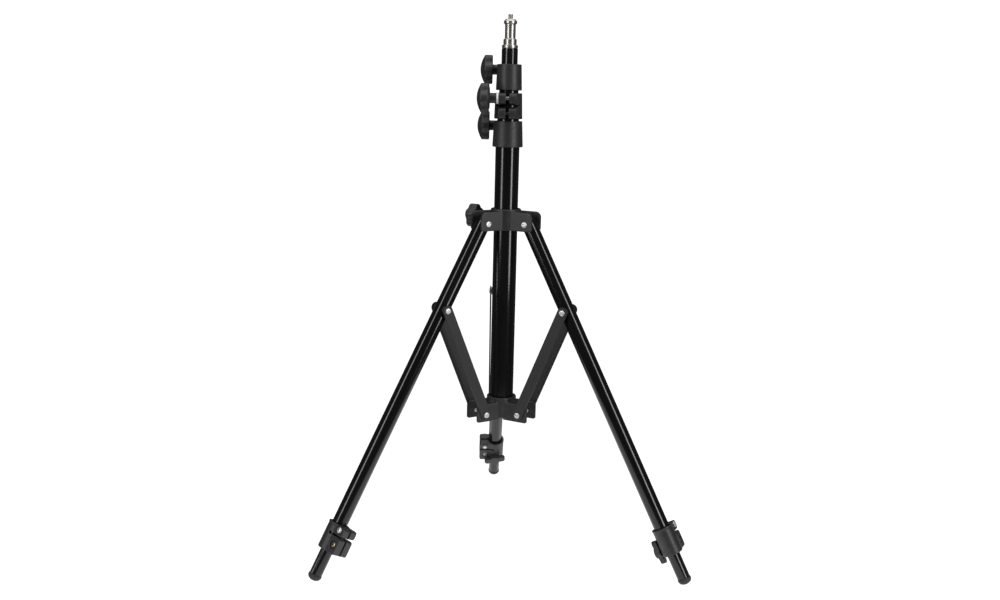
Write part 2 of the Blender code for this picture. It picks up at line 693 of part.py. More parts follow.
def make_legs(frames, clip_along, pivot_along, finish_of):
    """Each leg: upper tube, strut clip and its rivet, split clamp, thumb screw, extension and foot.

    A leg's empty is at the clip's rivet, with +Z up the leg, +X outwards and +Y along the rivet.
    """
    down = Matrix.Translation((0, 0, -clip_along))
    top = pivot_along + LEG_ABOVE_YOKE_PIVOT

    upper = tube(LEG_RADIUS, LEG_LOWER_END, top, TUBE_WALL, LEG_SIDES)
    for along in (pivot_along, clip_along):
        cut(upper, cylinder(RIVET_HOLE, (0, -PAST, along), (0, PAST, along), SMALL_SIDES))
    upper = as_mesh_object(upper, "upper")
    same = [(side, frame, down) for side, frame in frames.items()]
    repeated("leg_tube", upper, same, finish_of["black_gloss_paint"])

    flank = BRACKET_GAP + CHEEK
    clip = as_mesh_object(strut_clip(clip_along, flank), "clip")
    repeated("strut_clip", clip, same, finish_of["charcoal_plastic"])

    outer = flank + STRUT_THICKNESS + 2 * GAP
    shape = rivet(outer, outer, True)
    at_rivet = [(side, frame, None) for side, frame in frames.items()]
    repeated("clip_rivet", shape, at_rivet, finish_of["zinc"])

    clamp = split_clamp(
        CLAMP_ENDS,
        (CLAMP_RADIUS, CLAMP_RADIUS),
        LEG_RADIUS + GAP,
        EXTENSION_RADIUS + GAP,
        LEG_LOWER_END - GAP,
        (CLAMP_LUG_HALF, CLAMP_LUG_TIP),
        CLAMP_SLIT,
        (CLAMP_SLOT, CLAMP_SLOT_FROM_AXIS, CLAMP_SLOT_HALF),
        [(CLAMP_HOLE, radial, along) for radial, along in CLAMP_BOLTS],
        LEG_SIDES,
    )
    thumb_hole = THUMB_SHANK_RADIUS + GAP
    cut(clamp, cylinder(thumb_hole, (-PAST, 0, THUMB_SCREW), (0, 0, THUMB_SCREW), SMALL_SIDES))
    clamp = as_mesh_object(clamp, "clamp")
    clamp_places = []
    wing_places = []
    for side, frame in frames.items():
        turn = Matrix.Rotation(math.radians(CLAMP_TURNS[side]), 4, "Z")
        clamp_places.append((side, frame, down @ turn))
        wing = Matrix.Rotation(math.radians(WING_TURNS[side]), 4, "X")
        at = Matrix.Translation((-EXTENSION_RADIUS - GAP, 0, THUMB_SCREW))
        wing_places.append((side, frame, down @ turn @ at @ Matrix.Rotation(math.pi, 4, "Z") @ wing))
    repeated("leg_clamp", clamp, clamp_places, finish_of["charcoal_casting"])

    repeated("thumb_screw", thumb_screw(), wing_places, finish_of["charcoal_plastic"])

    lower, upper_end = EXTENSION_ENDS
    extension = tube(EXTENSION_RADIUS, lower, upper_end, TUBE_WALL, LEG_SIDES)
    repeated("leg_extension", extension, same, finish_of["black_gloss_paint"])
    repeated("foot_cap", foot_cap(), same, finish_of["foot_rubber"])


def strut_clip(along, flank):
    """A band round the leg with a boss along the rivet, out to the struts on either side."""
    start, end = (along + offset for offset in CLIP_BAND)
    clip = cylinder(LEG_RADIUS + CLIP_WALL, (0, 0, start), (0, 0, end), LEG_SIDES)
    join(clip, cylinder(CLIP_BOSS_RADIUS, (0, -flank, along), (0, flank, along), BOSS_SIDES))
    cut(clip, cylinder(LEG_RADIUS + GAP, (0, 0, along - PAST), (0, 0, along + PAST), LEG_SIDES))
    cut(clip, cylinder(RIVET_RADIUS + GAP, (0, -PAST, along), (0, PAST, along), SMALL_SIDES))
    return clip


def thumb_screw():
    """A bar grip on a shank, along +X, that reaches through the clamp's wall to the extension tube."""
    inner = CLAMP_RADIUS - EXTENSION_RADIUS
    middle = inner + WING_THICKNESS / 2
    half = WING_WIDTH / 2
    corners = [(-WING_REACH, -half), (WING_REACH, -half), (WING_REACH, half), (-WING_REACH, half)]
    grip = plate([(x, z, half * ROUND_END) for x, z in corners], WING_THICKNESS / 2)
    grip.data.transform(Matrix.Translation((middle, 0, 0)) @ Matrix.Rotation(math.pi / 2, 4, "Z"))
    hub_end = inner + WING_THICKNESS + WING_HUB_PROUD
    join(grip, cylinder(WING_HUB_RADIUS, (inner, 0, 0), (hub_end, 0, 0), SMALL_SIDES + 4))
    join(grip, cylinder(THUMB_SHANK_RADIUS, (0, 0, 0), (inner + MM, 0, 0), SMALL_SIDES))
    return as_mesh_object(grip, "wing")


def foot_cap():
    step = EXTENSION_ENDS[0] - GAP
    plug = [(0, FOOT_PLUG_TOP), (FOOT_PLUG_RADIUS, FOOT_PLUG_TOP), (FOOT_PLUG_RADIUS, step)]
    return turned(plug + [(FOOT_RADIUS, step), *FOOT_DOME], LEG_SIDES)


# Layout


def tilted(radius, height, azimuth, tilt):
    """A frame at a pivot: X outwards, Y along the pivot and Z up, leaning out by the tilt."""
    turn = Matrix.Rotation(math.radians(azimuth), 4, "Z")
    return turn @ Matrix.Translation((radius, 0, height)) @ Matrix.Rotation(tilt, 4, "Y")


def centre_footprint(stand):
    """Moves the stand so that the box round all of it is centred on the origin and rests on Z = 0."""
    bpy.context.view_layer.update()
    pieces = [obj for obj in parts.objects if obj.type == "MESH"]
    points = [obj.matrix_world @ vertex.co for obj in pieces for vertex in obj.data.vertices]
    low = Vector([min(point[axis] for point in points) for axis in range(3)])
    high = Vector([max(point[axis] for point in points) for axis in range(3)])
    stand.location = (-(low.x + high.x) / 2, -(low.y + high.y) / 2, -low.z)


def build():
    global parts, cutters
    clear_scene()
    parts = new_collection("tripod_stand")
    cutters = new_collection("cutters")
    finish_of = make_materials()

    yoke_radius, yoke_height = YOKE_PIVOT
    leg_length = yoke_height / math.cos(splay)
    clip_along = leg_length - CLIP_BELOW_YOKE
    clip = (yoke_radius + CLIP_BELOW_YOKE * math.sin(splay), clip_along * math.cos(splay))
    lean = (clip[0] - BRACKET_PIVOT[0], clip[1] - BRACKET_PIVOT[1])
    strut_length = math.hypot(*lean)
    strut_lean = math.atan2(*lean)

    stand = empty("stand")
    leg_frames = {}
    strut_frames = {}
    for side, azimuth in LEG_AZIMUTHS.items():
        leg_frames[side] = empty(f"leg_frame_{side}", stand, tilted(*clip, azimuth, -splay))
        leaning = tilted(*BRACKET_PIVOT, azimuth, strut_lean)
        strut_frames[side] = empty(f"strut_frame_{side}", stand, leaning)
    yoke_frame = empty("yoke_frame", stand, tilted(yoke_radius, yoke_height, LEG_AZIMUTHS["rear"], 0))
    yoke_origin = yoke_frame.matrix_basis.inverted() @ Matrix.Translation((0, 0, yoke_height))

    make_column(stand, finish_of)
    make_spigot(stand, finish_of)
    make_collars(stand, finish_of)
    make_yoke(yoke_frame, yoke_origin, finish_of)
    make_bracket(stand, finish_of)
    make_struts(strut_frames, strut_length, finish_of)
    make_legs(leg_frames, clip_along, leg_length, finish_of)
    centre_footprint(stand)


build()
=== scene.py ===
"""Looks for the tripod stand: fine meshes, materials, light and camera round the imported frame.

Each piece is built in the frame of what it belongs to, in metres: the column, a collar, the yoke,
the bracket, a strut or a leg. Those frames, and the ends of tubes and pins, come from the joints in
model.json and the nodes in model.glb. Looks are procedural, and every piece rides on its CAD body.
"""

import json
import math

import bmesh
import bpy
from mathutils import Matrix, Vector


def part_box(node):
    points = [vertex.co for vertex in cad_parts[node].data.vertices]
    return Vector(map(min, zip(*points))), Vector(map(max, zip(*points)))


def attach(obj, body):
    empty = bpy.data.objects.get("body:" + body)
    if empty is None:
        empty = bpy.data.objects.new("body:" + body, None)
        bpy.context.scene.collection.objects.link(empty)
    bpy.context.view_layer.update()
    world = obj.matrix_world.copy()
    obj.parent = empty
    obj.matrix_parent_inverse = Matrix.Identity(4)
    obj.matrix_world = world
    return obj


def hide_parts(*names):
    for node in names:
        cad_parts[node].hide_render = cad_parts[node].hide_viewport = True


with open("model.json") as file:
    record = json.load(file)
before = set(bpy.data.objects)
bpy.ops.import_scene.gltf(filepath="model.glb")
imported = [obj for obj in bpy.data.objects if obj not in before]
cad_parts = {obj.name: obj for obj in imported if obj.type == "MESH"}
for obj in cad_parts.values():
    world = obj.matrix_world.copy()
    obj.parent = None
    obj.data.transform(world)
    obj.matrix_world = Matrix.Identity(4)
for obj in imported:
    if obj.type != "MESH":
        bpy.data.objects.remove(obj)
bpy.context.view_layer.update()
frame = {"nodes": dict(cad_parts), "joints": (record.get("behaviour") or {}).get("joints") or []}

MM = 0.001
GAP = 0.3 * MM
SIDES = 72
SMALL_SIDES = 32
LIP = 0.3 * MM  # rounding of a tube's rim
TUBE_WALL = 1 * MM

# Each collar: its radius at the bottom and at the top, and half the width of its lugs
COLLARS = (
    (19.1 * MM, 17.7 * MM, 11 * MM),
    (17.6 * MM, 16.6 * MM, 11 * MM),
    (16.2 * MM, 15.1 * MM, 8.5 * MM),
)
COLLAR_SLIT = 1.95 * MM  # half the width
LUG_GAP = 2.1 * MM  # half the space between the upper and the lower lugs
WALL_SLOT = 1.2 * MM
SLOT_FROM_AXIS = 8.5 * MM
COLLAR_BOLT = 2.5 * MM
COLLAR_SCREW = 2 * MM
PIN_SUNK = 1.5 * MM
LOWER_SCREW = 7 * MM  # above the collar's bottom
LUG_BEYOND_BOLT = 6 * MM
WASHER_RADIUS = 7 * MM
WASHER_BORE = 2.7 * MM  # radius
COLLAR_EDGE = 0.4 * MM  # from a collar's rim to its lugs
COLLAR_CORNER = 5 * MM
PAST = 3 * MM  # how far a cutter passes what it cuts

KNOB_RADIUS = 18.2 * MM
KNOB_RIM = 10.4 * MM
KNOB_DEPTH = 15.2 * MM
KNOB_SHAFT = 9 * MM
KNOB_SHAFT_RADIUS = 6.2 * MM
KNOB_LOBES = 5
KNOB_LOBE_DEPTH = 3.2 * MM
KNOB_EDGE = 1.5 * MM  # rounding of the grip's rim
YOKE_KNOB_RADIUS = 15.2 * MM
YOKE_KNOB_RIM = 12 * MM
YOKE_KNOB_DEPTH = 15 * MM
YOKE_KNOB_SHAFT = 5.7 * MM
YOKE_KNOB_LOBE_DEPTH = 2.6 * MM

SPIGOT_SEAT = 12 * MM  # above the plug's lower end
SPIGOT_CROWN = 5.8 * MM  # below the stud's top
SPIGOT_CAP = 9.9 * MM  # this and the next two are radii
SPIGOT_FLANGE = 8.2 * MM
SPIGOT_NECK = 6.6 * MM
STUD_CREST = 3.1 * MM
STUD_ROOT = 2.5 * MM
STUD_PITCH = 1.27 * MM

HUB_RADIUS = 19 * MM
YOKE_GAP = 10.4 * MM
YOKE_CHEEK = 3.2 * MM
YOKE_REACH = 43.4 * MM
BRACKET_GAP = 11 * MM
BRACKET_CHEEK = 2.8 * MM
BRACKET_REACH = 44 * MM
HUB_EDGE = 1 * MM
CHEEK_ROOT = 10 * MM  # where the cheeks start inside the hub
CHEEK_ROOM = 19.8 * MM  # where the space between two cheeks starts
YOKE_CHEEK_TOP = 15 * MM  # above the leg pivots
YOKE_CORNERS = (7 * MM, 3 * MM)  # of a cheek, upper and lower
BRACKET_BOTTOM = -7.5 * MM  # this and the next from the strut pivots' level
BRACKET_CHEEK_TOP = 13.7 * MM
BRACKET_CORNERS = (5 * MM, 3 * MM)
BRACKET_FLOOR = -5.1 * MM
BOSS_RADIUS = 7.5 * MM
BOSS_HOLE = 3.3 * MM  # radius
BOSS_END = 33.5 * MM
BOSS_LEVEL = 5 * MM  # above the leg pivots
YOKE_BORE = 15.9 * MM
RIVET_HOLE = 3.3 * MM
RIVET_RADIUS = 2.5 * MM
RIVET_HEAD_RADIUS = 3.9 * MM
RIVET_HEAD = 1.3 * MM

LEG_SIDES_OUT = {"rear": 90, "left": 210, "right": 330}
CLAMP_TURNS = {"rear": 0, "left": 15, "right": 7}
CLAMP_RADIUS = 12.8 * MM
CLAMP_LUG_HALF = 11 * MM
CLAMP_LUG_TIP = 23.5 * MM
CLAMP_SLIT = 1.2 * MM
CLAMP_SLOT_FROM_AXIS = 3.4 * MM
CLAMP_ENDS = (40.5 * MM, 75 * MM)  # this and the next four along the leg, from the foot's tip
CLAMP_SLOT = 62.6 * MM
CLAMP_SLOT_HALF = 1.1 * MM
CLAMP_SLOT_END = 1.9 * MM  # radius of the round end
CLAMP_LUG_EDGE = 0.4 * MM  # from the clamp's rim to its lugs
CLAMP_LUG_CORNER = 3 * MM
CLAMP_RIM = 0.5 * MM  # how far the rim at the top stands out
CLAMP_HOLE = 2.3 * MM  # radius
THUMB_HOLE = 2.8 * MM  # radius
CLAMP_BOLTS = {  # from the leg's axis, and along
    "upper": (15.6 * MM, 70.4 * MM),
    "lower": (14.8 * MM, 51.6 * MM),
}
CLAMP_STEP = 57.7 * MM
CLAMP_RECESS = (4.9 * MM, 2.6 * MM)  # radius and depth, round the lower screw's head
NUT_RECESS = (4.3 * MM, 2.9 * MM)  # radius and depth, round the lower screw's nut
SCREW_LOOKS = {"upper": "zinc", "lower": "brass"}
NUT_LOOKS = {"upper": "zinc", "lower": "dull_steel"}
CLIP_BOSS = 5.4 * MM
THUMB_SCREW = 47 * MM
WING_REACH = 15.8 * MM
WING_WIDTH = 8.6 * MM
WING_THICKNESS = 6.2 * MM

# Camera, placed from the foot of the column
CAMERA_PLACE = (-0.04854, -1.388608, 0.587844)
CAMERA_TURN = (79.333, -1.3438, -1.5518)  # degrees
CAMERA_LENS = 39.7127
STRIP_WIDTH = 0.36
# For each strip: degrees round from the camera, bottom, top, watts for each square metre
STRIPS = {
    "left": (-48, 0.28, 2.2, 20),
    "right": (48, 0.04, 2.2, 26),
    "low_left": (-72, 0.02, 0.24, 18),
}
OVERHEAD_HEIGHT = 2.2
LIGHT_DISTANCE = 1.7
OVERHEAD_SIDE = 2.4
OVERHEAD_BRIGHTNESS = 4.5
WORLD_FILL = 0.07
FLOOR_RADIUS = 1
FLOOR_FADE = (0.22, 0.48)  # from the column, where the floor starts to fade into white and ends
CAMERA_SENSOR = 36


# Frames


def joint(name):
    return next(entry for entry in frame["joints"] if entry["name"] == name)


def frame_at(origin, y_axis, z_axis):
    """A frame with these axes, its X to the right of Y seen down Z."""
    z = Vector(z_axis).normalized()
    y = Vector(y_axis).normalized()
    made = Matrix((y.cross(z), y, z)).transposed().to_4x4()
    made.translation = origin
    return made


def local_box(node, place):
    """Lowest and highest corner of a CAD node in a local frame."""
    back = place.inverted()
    points = [back @ vertex.co for vertex in frame["nodes"][node].data.vertices]
    low = Vector([min(point[axis] for point in points) for axis in range(3)])
    high = Vector([max(point[axis] for point in points) for axis in range(3)])
    return low, high


def move(x=0, y=0, z=0):
    return Matrix.Translation((x, y, z))


def turn(degrees, axis):
    return Matrix.Rotation(math.radians(degrees), 4, axis)


def column_frame(height=0):
    low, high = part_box("column_tube_1")
    return move((low.x + high.x) / 2, (low.y + high.y) / 2, height)


def leg_frame(side):
    """At the strut clip's rivet: X outwards, Y along the rivet and Z up the leg."""
    fold = joint(f"leg_{side}_fold")
    up = -Vector(joint(f"foot_{side}_slide")["axis"])
    return frame_at(fold["pos_m"], fold["axis"], up)


def strut_frame(side):
    fold = joint("fold" if side == "rear" else f"strut_{side}_fold")
    clip = Vector(joint(f"leg_{side}_fold")["pos_m"])
    return frame_at(fold["pos_m"], fold["axis"], clip - Vector(fold["pos_m"]))


def collar_frame(number):
    """On the column's axis at the bolt's height, Y towards the lugs. Also the bolt's distance from
    the axis, and how far along X the knob starts."""
    knob = joint(f"knob_{number}_turn")
    centre = column_frame(knob["pos_m"][2])
    along = Vector(knob["axis"])
    offset = Vector(knob["pos_m"]) - centre.translation
    lugs = offset - offset.dot(along) * along
    place = frame_at(centre.translation, lugs, (0, 0, 1))
    return place, lugs.length, (place.inverted() @ Vector(knob["pos_m"])).x


# Mesh tools


def mesh_object(bm, name):
    bmesh.ops.recalc_face_normals(bm, faces=bm.faces)
    mesh = bpy.data.meshes.new(name)
    bm.to_mesh(mesh)
    bm.free()
    obj = bpy.data.objects.new(name, mesh)
    bpy.context.scene.collection.objects.link(obj)
    return obj


def skin(loops, name="skin", closed=False):
    """Faces between each loop of points and the next, with capped ends or joined in a ring."""
    bm = bmesh.new()
    rings = [[bm.verts.new(point) for point in loop] for loop in loops]
    pairs = list(zip(rings, rings[1:]))
    if closed:
        pairs.append((rings[-1], rings[0]))
    else:
        bm.faces.new(rings[0])
        bm.faces.new(rings[-1])
    for lower, upper in pairs:
        for step in range(len(lower)):
            after = (step + 1) % len(lower)
            bm.faces.new((lower[step], lower[after], upper[after], upper[step]))
    return mesh_object(bm, name)


def circle(radius, height, sides=SIDES):
    """A loop of points round Z. The radius may be a function of the angle."""
    points = []
    for step in range(sides):
        angle = math.tau * step / sides
        reach = radius(angle) if callable(radius) else radius
        points.append((reach * math.cos(angle), reach * math.sin(angle), height))
    return points


def rounded(corners, steps=5):
    """The closed outline through (x, z, radius) corners, with an arc at each one with a radius."""
    points = []
    for index, (x, z, radius) in enumerate(corners):
        here = Vector((x, z))
        if not radius:
            points.append(tuple(here))
            continue
        before = (Vector(corners[index - 1][:2]) - here).normalized()
        after = (Vector(corners[(index + 1) % len(corners)][:2]) - here).normalized()
        half = before.angle(after) / 2
        centre = here + (before + after).normalized() * radius / math.sin(half)
        start = here + before * radius / math.tan(half) - centre
        end = here + after * radius / math.tan(half) - centre
        sweep = start.angle_signed(end)
        for step in range(steps + 1):
            arm = start.copy()
            arm.rotate(Matrix.Rotation(-sweep * step / steps, 2))
            points.append(tuple(centre + arm))
    return points


def turned(corners, sides=SIDES, name="turned"):
    """(radius, height, rounding) corners spun round Z, closed in a ring unless they touch the axis."""
    outline = rounded(corners, 4)
    loops = [circle(radius, height, sides) for radius, height in outline if radius > 0]
    return skin(loops, name, closed=len(loops) == len(outline))


def plate(corners, half_thickness, name="plate"):
    """A flat plate in the XZ plane, its corners rounded."""
    outline = rounded(corners, 8)
    return skin([[(x, side * half_thickness, z) for x, z in outline] for side in (-1, 1)], name)


def cylinder(radius, start, end, sides=SMALL_SIDES, end_radius=None):
    start, end = Vector(start), Vector(end)
    tip = radius if end_radius is None else end_radius
    made = skin([circle(radius, 0, sides), circle(tip, (end - start).length, sides)])
    lean = (end - start).to_track_quat("Z", "Y").to_matrix().to_4x4()
    made.data.transform(Matrix.Translation(start) @ lean)
    return made


def box(low, high):
    bm = bmesh.new()
    bmesh.ops.create_cube(bm, size=1)
    low, high = Vector(low), Vector(high)
    bmesh.ops.scale(bm, vec=high - low, verts=bm.verts)
    bmesh.ops.translate(bm, vec=(low + high) / 2, verts=bm.verts)
    return mesh_object(bm, "box")


def bake(obj):
    """Makes the shape that its modifiers give an object its own mesh."""
    bpy.context.view_layer.update()
    graph = bpy.context.evaluated_depsgraph_get()
    mesh = bpy.data.meshes.new_from_object(obj.evaluated_get(graph))
    obj.modifiers.clear()
    obj.data = mesh
    return obj


def combine(target, others, operation):
    for other in others:
        modifier = target.modifiers.new(operation, "BOOLEAN")
        modifier.operation = operation
        modifier.object = other
    bake(target)
    for other in others:
        bpy.data.objects.remove(other)
    return target


def join(target, *others):
    return combine(target, others, "UNION")


def cut(target, *others):
    return combine(target, others, "DIFFERENCE")


def moulded(obj, voxel=0.5 * MM, rounds=6, keep=0.35):
    """Rounds every edge a little, as on a moulded or cast piece."""
    remesh = obj.modifiers.new("Remesh", "REMESH")
    remesh.mode = "VOXEL"
    remesh.voxel_size = voxel
    smooth = obj.modifiers.new("Smooth", "SMOOTH")
    smooth.factor = 0.5
    smooth.iterations = rounds
    thin = obj.modifiers.new("Decimate", "DECIMATE")
    thin.ratio = keep
    return bake(obj)


def softened(obj, width, segments=2):
    bevel = obj.modifiers.new("Bevel", "BEVEL")
    bevel.width = width
    bevel.segments = segments
    bevel.limit_method = "ANGLE"
    bevel.angle_limit = math.radians(40)
    return bake(obj)


# Materials


def new_material(name, color, roughness, metallic=0.0):
    """A new look with an even colour and roughness, and its shader."""
    made = bpy.data.materials.new(name)
    made.use_nodes = True
    shader = made.node_tree.nodes["Principled BSDF"]
    shader.inputs["Base Color"].default_value = (*color, 1)
    shader.inputs["Roughness"].default_value = roughness
    shader.inputs["Metallic"].default_value = metallic
    return made, shader


def noise(material, size, detail=3, stretch=(1, 1, 1)):
    """A noise pattern with features of about this size, stretched along the object's axes."""
    nodes, links = material.node_tree.nodes, material.node_tree.links
    where = nodes.new("ShaderNodeTexCoord")
    mapping = nodes.new("ShaderNodeMapping")
    mapping.inputs["Scale"].default_value = stretch
    pattern = nodes.new("ShaderNodeTexNoise")
    pattern.inputs["Scale"].default_value = 1 / size
    pattern.inputs["Detail"].default_value = detail
    links.new(where.outputs["Object"], mapping.inputs["Vector"])
    links.new(mapping.outputs["Vector"], pattern.inputs["Vector"])
    return pattern


def vary_roughness(material, shader, pattern, low, high):
    nodes, links = material.node_tree.nodes, material.node_tree.links
    spread = nodes.new("ShaderNodeMapRange")
    spread.inputs["From Min"].default_value = 0.3
    spread.inputs["From Max"].default_value = 0.7
    spread.inputs["To Min"].default_value = low
    spread.inputs["To Max"].default_value = high
    links.new(pattern.outputs["Fac"], spread.inputs["Value"])
    links.new(spread.outputs["Result"], shader.inputs["Roughness"])


def vary_color(material, shader, pattern, dark, light):
    nodes, links = material.node_tree.nodes, material.node_tree.links
    ramp = nodes.new("ShaderNodeValToRGB")
    ramp.color_ramp.elements[0].position = 0.3
    ramp.color_ramp.elements[0].color = (*dark, 1)
    ramp.color_ramp.elements[1].position = 0.7
    ramp.color_ramp.elements[1].color = (*light, 1)
    links.new(pattern.outputs["Fac"], ramp.inputs["Fac"])
    links.new(ramp.outputs["Color"], shader.inputs["Base Color"])


def add_bump(material, shader, pattern, depth, strength=1.0):
    nodes, links = material.node_tree.nodes, material.node_tree.links
    bump = nodes.new("ShaderNodeBump")
    bump.inputs["Strength"].default_value = strength
    bump.inputs["Distance"].default_value = depth
    links.new(pattern.outputs["Fac"], bump.inputs["Height"])
    links.new(bump.outputs["Normal"], shader.inputs["Normal"])


def gloss_black():
    """Black coated aluminium: a deep gloss with a faint unevenness along the draw of the tube."""
    made, shader = new_material("gloss_black", (0.003, 0.003, 0.0035), 0.15)
    along = noise(made, 6 * MM, 2, (1, 1, 0.06))
    vary_roughness(made, shader, along, 0.14, 0.18)
    vary_color(made, shader, along, (0.002, 0.002, 0.0023), (0.004, 0.004, 0.0045))
    return made


def moulded_plastic(name, dark, light, smooth, rough, grain):
    """A moulded, finely grained plastic."""
    made, shader = new_material(name, dark, rough)
    vary_color(made, shader, noise(made, 5 * MM, 4), dark, light)
    vary_roughness(made, shader, noise(made, 2 * MM, 4), smooth, rough)
    add_bump(made, shader, noise(made, grain, 3), 0.03 * MM, 0.7)
    return made


def strut_black():
    made, shader = new_material("strut_black", (0.019, 0.0175, 0.0175), 0.4)
    patches = noise(made, 4 * MM, 3)
    vary_color(made, shader, patches, (0.016, 0.0148, 0.0148), (0.023, 0.0212, 0.0212))
    vary_roughness(made, shader, patches, 0.5, 0.62)
    add_bump(made, shader, noise(made, 0.6 * MM, 3), 0.015 * MM, 0.6)
    return made


def metal(name, dark, light, smooth, rough, stretch):
    """Bare or plated metal with fine marks drawn out along one direction."""
    made, shader = new_material(name, light, smooth, metallic=1.0)
    marks = noise(made, 0.8 * MM, 3, stretch)
    vary_color(made, shader, marks, dark, light)
    vary_roughness(made, shader, marks, smooth, rough)
    add_bump(made, shader, marks, 0.004 * MM, 0.25)
    return made


def foot_rubber():
    made, shader = new_material("foot_rubber", (0.05, 0.05, 0.05), 0.7)
    vary_color(made, shader, noise(made, 3 * MM, 5), (0.012, 0.012, 0.012), (0.022, 0.022, 0.021))
    vary_roughness(made, shader, noise(made, 1.5 * MM, 4), 0.55, 0.78)
    add_bump(made, shader, noise(made, 0.5 * MM, 4), 0.05 * MM, 0.8)
    return made


def nylon():
    made, shader = new_material("nylon", (0.8, 0.79, 0.76), 0.42)
    vary_color(made, shader, noise(made, 3 * MM, 3), (0.74, 0.73, 0.69), (0.86, 0.85, 0.82))
    vary_roughness(made, shader, noise(made, 1 * MM, 3), 0.36, 0.5)
    add_bump(made, shader, noise(made, 0.4 * MM, 2), 0.01 * MM, 0.5)
    return made


looks = {
    "gloss_black": gloss_black(),
    "charcoal_casting": moulded_plastic(
        "charcoal_casting", (0.016, 0.0155, 0.016), (0.025, 0.0245, 0.025), 0.36, 0.5, 0.5 * MM
    ),
    "charcoal_plastic": moulded_plastic(
        "charcoal_plastic", (0.017, 0.017, 0.0175), (0.026, 0.026, 0.027), 0.38, 0.52, 0.35 * MM
    ),
    "strut_black": strut_black(),
    "chrome": metal("chrome", (0.42, 0.4, 0.37), (0.56, 0.545, 0.52), 0.27, 0.36, (0.3, 0.3, 6)),
    "zinc": metal("zinc", (0.62, 0.61, 0.59), (0.82, 0.81, 0.79), 0.36, 0.5, (1, 1, 1)),
    "brass": metal("brass", (0.3, 0.22, 0.16), (0.5, 0.4, 0.3), 0.28, 0.44, (1, 1, 1)),
    "dull_steel": metal("dull_steel", (0.2, 0.2, 0.2), (0.32, 0.32, 0.31), 0.35, 0.5, (1, 1, 1)),
    "foot_rubber": foot_rubber(),
    "nylon": nylon(),
}


# Pieces


def piece(obj, name, body, look, place, nodes=()):
    """Gives a finished mesh its look, its place and its CAD body, and hides the CAD nodes it stands for."""
    obj.name = name
    obj.matrix_world = place
    obj.data.materials.clear()
    obj.data.materials.append(looks[look])
    obj.data.shade_smooth()
    obj.data.set_sharp_from_angle(angle=math.radians(38))
    if nodes:
        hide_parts(*nodes)
    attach(obj, body)
    return obj


def copy_of(obj):
    """Another object with the same mesh, not yet riding on anything."""
    made = bpy.data.objects.new(obj.name, obj.data)
    bpy.context.scene.collection.objects.link(made)
    return made


def carry(node, look):
    """A CAD node that keeps its own shape, because nothing shows of it but a hidden end."""
    obj = frame["nodes"][node]
    obj.data.materials.clear()
    obj.data.materials.append(looks[look])


def fine_tube(radius, bottom, top, rings=()):
    """A thin tube with rounded rims. Extra rings keep its shading even beside a hole."""
    inner = radius - TUBE_WALL
    ends = [(radius, bottom, LIP)] + [(radius, height, 0) for height in rings]
    return turned(ends + [(radius, top, LIP), (inner, top, LIP), (inner, bottom, LIP)])


def lobed(radius, depth):
    """The outline of a lobed grip, as a function of the angle."""
    return lambda angle: radius - depth * (0.5 - 0.5 * math.cos(KNOB_LOBES * angle)) ** 1.5


def knob(radius, depth, rim, dome, shaft):
    """A lobed grip with an arched face on a round shaft, its axis along +X from the shaft's end."""
    sides = KNOB_LOBES * 24
    stem = (
        (0, KNOB_SHAFT_RADIUS - 0.4 * MM),
        (0.4 * MM, KNOB_SHAFT_RADIUS),
        (shaft - 0.8 * MM, KNOB_SHAFT_RADIUS),
        (shaft, KNOB_SHAFT_RADIUS + 0.7 * MM),
    )
    loops = [circle(reach, height, sides) for height, reach in stem]
    edge = KNOB_EDGE
    edge_steps = 5
    for height, sense in ((shaft + edge, -1), (shaft + rim - edge, 1)):
        for step in range(edge_steps + 1):
            angle = math.pi / 2 * (step if sense > 0 else edge_steps - step) / edge_steps
            reach = radius - edge * (1 - math.cos(angle))
            loops.append(circle(lobed(reach, depth), height + sense * edge * math.sin(angle), sides))
    arch_steps = 8
    outer = radius - edge
    for step in range(1, arch_steps):
        share = 1 - step / arch_steps
        rise = (dome - rim) * (1 - share**2)
        loops.append(circle(lobed(outer * share, depth * share), shaft + rim + rise, sides))
    made = skin(loops)
    made.data.transform(turn(90, "Y"))
    return made


def thread(crest, root, pitch, start, end, sides):
    """Loops of points that follow a helical thread up Z."""
    loops = []
    steps = 6
    for step in range(int((end - start) / pitch * steps) + 1):
        height = start + pitch * step / steps

        def reach(angle, height=height):
            phase = (height / pitch - angle / math.tau) % 1
            return root + (crest - root) * (1 - abs(2 * phase - 1))

        loops.append(circle(reach, height, sides))
    return loops


def threaded_pin(radius, pitch, start, end):
    """A threaded pin along X with a hexagonal socket at its start."""
    root = radius - 0.55 * pitch
    loops = [circle(root, start, SMALL_SIDES)]
    loops += thread(radius, root, pitch, start + pitch / 2, end - pitch / 2, SMALL_SIDES)
    loops.append(circle(root, end, SMALL_SIDES))
    made = skin(loops)
    cut(made, skin([circle(radius * 0.55, height, 6) for height in (start - MM, start + 1.5 * MM)]))
    made.data.transform(turn(90, "Y"))
    return made


def button_screw(shank, head_radius, head, start, length):
    """A screw along X from start to length, with a domed, socketed head past its end."""
    corners = [
        (0, start, 0),
        (shank, start, 0.4 * MM),
        (shank, length, 0),
        (head_radius, length, 0.2 * MM),
        (head_radius * 0.92, length + head * 0.7, head * 0.4),
        (head_radius * 0.5, length + head, 0.6 * MM),
        (0, length + head, 0),
    ]
    made = turned(corners, SMALL_SIDES)
    floor_and_mouth = (length + head * 0.3, length + head * 2)
    cut(made, skin([circle(head_radius * 0.42, height, 6) for height in floor_and_mouth]))
    made.data.transform(turn(90, "Y"))
    return made


